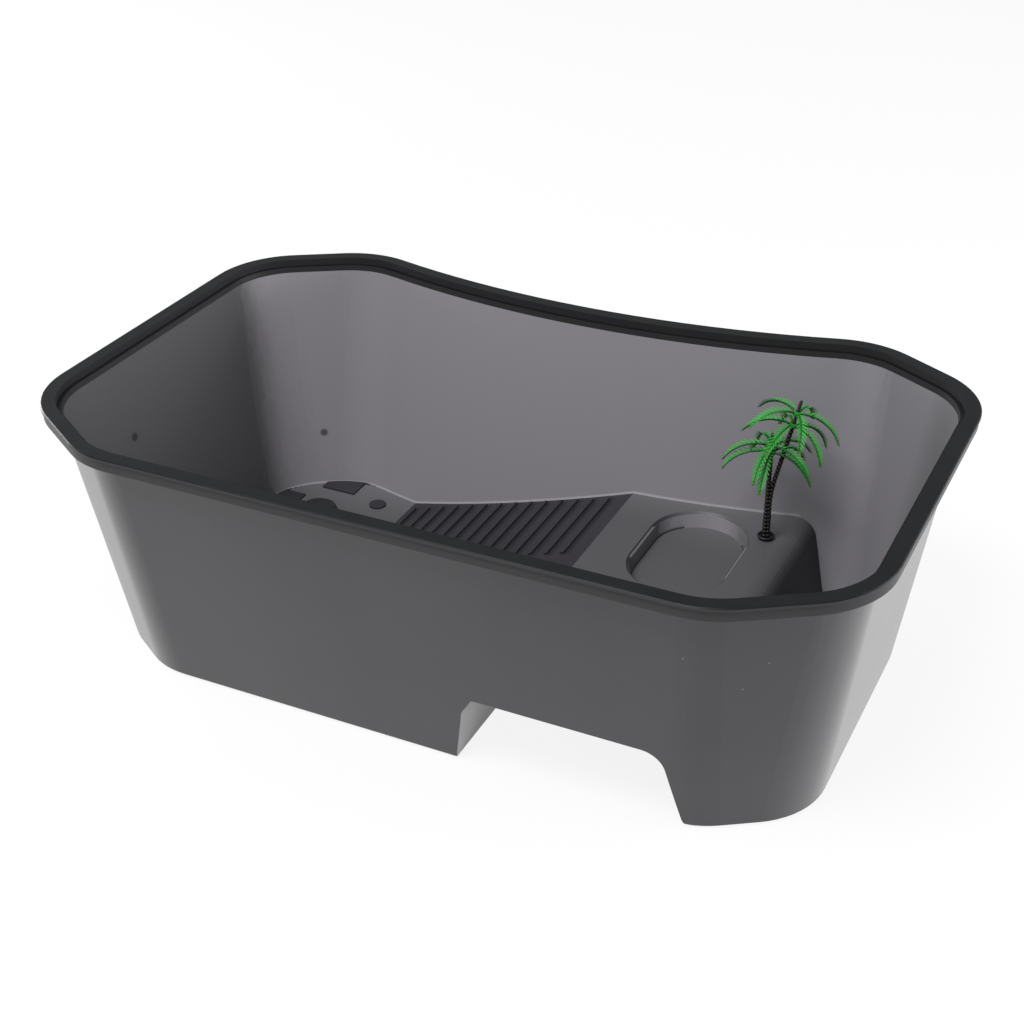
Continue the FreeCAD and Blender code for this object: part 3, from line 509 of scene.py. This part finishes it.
HUB_RADIUS, HUB_HEIGHT, HUB_PLAY, HUB_EDGE = 2.1 * MM, 2.0 * MM, 0.06 * MM, 0.35 * MM
LEAF_ARC = 19 * MM
LEAF_RISE, LEAF_FALL = math.radians(12), math.radians(62)
LEAF_LENGTH = LEAF_ARC * (LEAF_RISE + LEAF_FALL)
LEAF_HALF_WIDTH = 4.3 * MM
RIB_FOOT_RADIUS, RIB_TIP_RADIUS, RIB_JOINTS = 0.62 * MM, 0.20 * MM, 16
LEAFLETS, FIRST_LEAFLET, LEAFLET_ROW = 12, 0.10, 0.87
LEAFLET_FOOT, LEAFLET_TIP = 0.44 * MM, 0.10 * MM
LEAFLET_MIDDLE, MIDDLE_FULLNESS, LEAFLET_FLATNESS = (0.45, 0, 0), (1, 1.5, 1.2), (1, 1, 0.42)
REACH_FIRST, REACH_SPAN = 0.17, 0.70
LEAFLET_SWEEP, SWEEP_GAIN = math.radians(38), math.radians(26)
LEAFLET_FOLD = math.radians(30)
LEAVES_IN_RING, DROOP_SPREAD = 5, 4
UPPER_DROP, TALL_LOWER_DROP, SHORT_LOWER_DROP = 6.6 * MM, 13 * MM, 10 * MM
TALL_SPIN, TALL_LOWER_TURN, SHORT_SPIN, SHORT_LOWER_TURN = -63.7, 36, -92, 8
LEAF_GREEN, LEAF_BRIGHT = (0.010, 0.26, 0.022), (0.032, 0.52, 0.035)
RIB_GREEN, TIP_GREEN, TIP_BROWN = (0.008, 0.105, 0.018), (0.16, 0.30, 0.03), (0.09, 0.07, 0.02)


def leaflet_reach(share):
    """How far leaflets reach at a share of the leaf's length."""
    return LEAF_HALF_WIDTH * math.sin(math.pi * (REACH_FIRST + REACH_SPAN * share))


def set_share(obj, name, reading):
    """Keeps a number for each corner point, read from its place, for the leaf's colours."""
    values = obj.data.attributes.new(name, "FLOAT", "POINT")
    for vertex, value in zip(obj.data.vertices, values.data):
        value.value = reading(vertex.co)


def leaflet():
    """One leaflet along +X: a flat spike with a fuller middle."""
    deselect()
    bpy.ops.mesh.primitive_cone_add(vertices=6, radius1=LEAFLET_FOOT, radius2=LEAFLET_TIP,
                                    depth=1.0, location=(0.5, 0, 0),
                                    rotation=(0, math.pi / 2, 0))
    blade = bpy.context.object
    bpy.ops.object.transform_apply(location=True, rotation=True, scale=True)
    bpy.ops.object.mode_set(mode="EDIT")
    bpy.ops.mesh.select_all(action="SELECT")
    bpy.ops.mesh.bisect(plane_co=LEAFLET_MIDDLE, plane_no=(1, 0, 0))
    bpy.ops.transform.resize(value=MIDDLE_FULLNESS, center_override=LEAFLET_MIDDLE)
    bpy.ops.mesh.select_all(action="SELECT")
    bpy.ops.transform.resize(value=LEAFLET_FLATNESS)
    bpy.ops.object.mode_set(mode="OBJECT")
    set_share(blade, "across", lambda co: min(1, max(0, co.x)))
    return blade


def leaf():
    """One leaf along +X, modelled flat and then drooped over its arc."""
    deselect()
    bpy.ops.mesh.primitive_cone_add(vertices=8, radius1=RIB_FOOT_RADIUS,
                                    radius2=RIB_TIP_RADIUS, depth=LEAF_LENGTH,
                                    location=(LEAF_LENGTH / 2, 0, 0),
                                    rotation=(0, math.pi / 2, 0))
    rib = bpy.context.object
    bpy.ops.object.transform_apply(location=True, rotation=True, scale=True)
    for k in range(1, RIB_JOINTS):
        bpy.ops.object.mode_set(mode="EDIT")
        bpy.ops.mesh.select_all(action="SELECT")
        bpy.ops.mesh.bisect(plane_co=(LEAF_LENGTH * k / RIB_JOINTS, 0, 0), plane_no=(1, 0, 0))
        bpy.ops.object.mode_set(mode="OBJECT")
    set_share(rib, "across", lambda co: 0)
    parts = [rib]
    pattern = leaflet()
    for k in range(LEAFLETS):
        share = FIRST_LEAFLET + LEAFLET_ROW * k / (LEAFLETS - 1)
        sweep = LEAFLET_SWEEP + SWEEP_GAIN * share
        size = Matrix.Diagonal((leaflet_reach(share) / math.cos(LEAFLET_FOLD), 1, 1))
        for side in (-1, 1):
            blade = bpy.data.objects.new("blade", pattern.data.copy())
            bpy.context.collection.objects.link(blade)
            turn = (Euler((side * LEAFLET_FOLD, 0, 0)).to_matrix()
                    @ Euler((0, 0, side * (math.pi / 2 - sweep))).to_matrix())
            blade.data.transform((turn @ size).to_4x4())
            blade.data.transform(Matrix.Translation((share * LEAF_LENGTH, 0, 0)))
            parts.append(blade)
    bpy.data.objects.remove(pattern)
    whole = join(parts, "leaf")
    set_share(whole, "along", lambda co: min(1, max(0, co.x / LEAF_LENGTH)))
    for vertex in whole.data.vertices:
        slope = LEAF_RISE - vertex.co.x / LEAF_ARC
        reach = LEAF_ARC + vertex.co.z
        vertex.co = (HUB_RADIUS / 2 + LEAF_ARC * math.sin(LEAF_RISE) - reach * math.sin(slope),
                     vertex.co.y,
                     reach * math.cos(slope) - LEAF_ARC * math.cos(LEAF_RISE))
    return whole


leaf_pattern = leaf()
plastic = Shader("leaf_plastic", Specular_IOR_Level=0.3)
leaf_along, leaf_across = plastic.attribute("along"), plastic.attribute("across")
tint = plastic.noise(scale=260)
green = plastic.mix(tint, LEAF_GREEN, LEAF_BRIGHT)
green = plastic.mix(plastic.between(leaf_across, 0.0, 0.35, 1, 0), green, RIB_GREEN)
green = plastic.mix(0.45 * plastic.between(leaf_across, 0.75, 1.0), green, TIP_GREEN)
browned = plastic.between(leaf_along + 0.25 * (tint - 0.5), 0.88, 1.0)
leaf_material = plastic.finish(
    Base_Color=plastic.mix(0.6 * browned, green, TIP_BROWN),
    Roughness=0.36 + 0.15 * tint,
    Normal=plastic.bump(plastic.noise(scale=2200, detail=1), 0.03 * MM, strength=0.3),
)


def crown(name, node, fork, tip, drop, spin):
    """A ring of leaves on its stem, so far below the tip."""
    deselect()
    bpy.ops.mesh.primitive_cylinder_add(vertices=28, radius=HUB_RADIUS, depth=HUB_HEIGHT,
                                        end_fill_type="NOTHING")
    hub = bpy.context.object
    modify(hub, "SOLIDIFY", thickness=HUB_RADIUS - PIN_RADIUS - HUB_PLAY, offset=-1)
    modify(hub, "BEVEL", width=HUB_EDGE, segments=3, limit_method="ANGLE",
           angle_limit=math.radians(40))
    set_share(hub, "across", lambda co: 0.2)
    set_share(hub, "along", lambda co: 0)
    parts = [hub]
    for k in range(LEAVES_IN_RING):
        copied = bpy.data.objects.new("leaf", leaf_pattern.data.copy())
        bpy.context.collection.objects.link(copied)
        sag = math.radians(random.uniform(-DROOP_SPREAD, DROOP_SPREAD))
        turn = math.radians(spin + 360 / LEAVES_IN_RING * k)
        copied.data.transform(Matrix.Rotation(turn, 4, "Z") @ Matrix.Rotation(sag, 4, "Y"))
        parts.append(copied)
    ring = join(parts, name)
    direction = (tip - fork).normalized()
    seat = Matrix.Translation(tip - direction * drop)
    ring.data.transform(seat @ UP.rotation_difference(direction).to_matrix().to_4x4())
    smooth(ring, 60)
    finish_piece(ring, leaf_material, "leaf_plastic", node)


random.seed(4)
crown("tall_upper_leaves", "tall_palm_upper_leaves", TALL_FORK, TALL_TIP,
      UPPER_DROP, TALL_SPIN)
crown("tall_lower_leaves", "tall_palm_lower_leaves", TALL_FORK, TALL_TIP,
      TALL_LOWER_DROP, TALL_SPIN + TALL_LOWER_TURN)
crown("short_upper_leaves", "short_palm_upper_leaves", SHORT_FORK, SHORT_TIP,
      UPPER_DROP, SHORT_SPIN)
crown("short_lower_leaves", "short_palm_lower_leaves", SHORT_FORK, SHORT_TIP,
      SHORT_LOWER_DROP, SHORT_SPIN + SHORT_LOWER_TURN)
bpy.data.objects.remove(leaf_pattern)


# Studio: a white floor in a white room, one large soft light above and one at each end,
# and the camera in front of the right end, looking down.

FLOOR_SIZE, FLOOR_GREY, FLOOR_GLOW, FLOOR_SHARE = 8, (0.65, 0.65, 0.65), 1.04, 0.85
WHITE, ROOM_LIGHT = (1, 1, 1), 0.35
CAMERA_PLACE = (0.3077, -0.6168, 0.4786)
CAMERA_TURN = math.radians(26.28)
CAMERA_PITCH = math.radians(30.80)
CAMERA_ROLL = math.radians(-0.83)
CAMERA_LENS, CAMERA_SENSOR = 59.78, 36

deselect()
bpy.ops.mesh.primitive_plane_add(size=FLOOR_SIZE)
floor = bpy.context.object
floor.name = "floor"
paper = Shader("floor_paper")
rays = paper.node("ShaderNodeLightPath")
seen = paper.node("ShaderNodeMath", {"operation": "MAXIMUM"},
                  {0: rays["Is Camera Ray"], 1: rays["Is Glossy Ray"]})[0]
glow = paper.node("ShaderNodeEmission", {}, {"Color": WHITE, "Strength": FLOOR_GLOW})
blend = paper.node("ShaderNodeMixShader", {}, {
    "Fac": FLOOR_SHARE * seen,
    1: paper.principled(Base_Color=FLOOR_GREY, Roughness=0.9),
    2: glow["Emission"],
})
paper.node("ShaderNodeOutputMaterial", {}, {"Surface": blend["Shader"]})
floor.data.materials.append(paper.material)

world = bpy.data.worlds.new("white_room")
bpy.context.scene.world = world
world.use_nodes = True
room = Nodes(world.node_tree)
camera_ray = room.node("ShaderNodeLightPath")["Is Camera Ray"]
background = room.node("ShaderNodeBackground", {}, {
    "Color": WHITE, "Strength": camera_ray * (1 - ROOM_LIGHT) + ROOM_LIGHT,
})
room.node("ShaderNodeOutputWorld", {}, {"Surface": background["Background"]})


def soft_light(name, place, target, width, height, power):
    """A rectangular lamp at a place, turned to its target."""
    bpy.ops.object.light_add(type="AREA", location=place)
    lamp = bpy.context.object
    lamp.name = name
    lamp.data.shape = "RECTANGLE"
    lamp.data.size, lamp.data.size_y = width, height
    lamp.data.energy = power
    lamp.rotation_euler = (Vector(target) - Vector(place)).to_track_quat("-Z", "Y").to_euler()


soft_light("top_light", place=(-0.25, -0.8, 1.8), target=(0, 0.05, 0.08),
           width=1.0, height=0.8, power=34)
soft_light("left_light", place=(-1.4, 0.35, 0.22), target=(-0.1, 0, 0.05),
           width=0.8, height=0.4, power=14)
soft_light("right_light", place=(1.3, 0.5, 0.3), target=(0.1, 0, 0.05),
           width=0.8, height=0.5, power=17)

bpy.ops.object.camera_add(location=CAMERA_PLACE)
camera = bpy.context.object
camera.rotation_euler = (Matrix.Rotation(CAMERA_TURN, 3, "Z")
                         @ Matrix.Rotation(math.pi / 2 - CAMERA_PITCH, 3, "X")
                         @ Matrix.Rotation(CAMERA_ROLL, 3, "Z")).to_euler()
camera.data.sensor_width = CAMERA_SENSOR
camera.data.lens = CAMERA_LENS
camera.data.clip_start, camera.data.clip_end = 0.01, 50
bpy.context.scene.camera = camera
bpy.context.scene.view_settings.view_transform = "Standard"
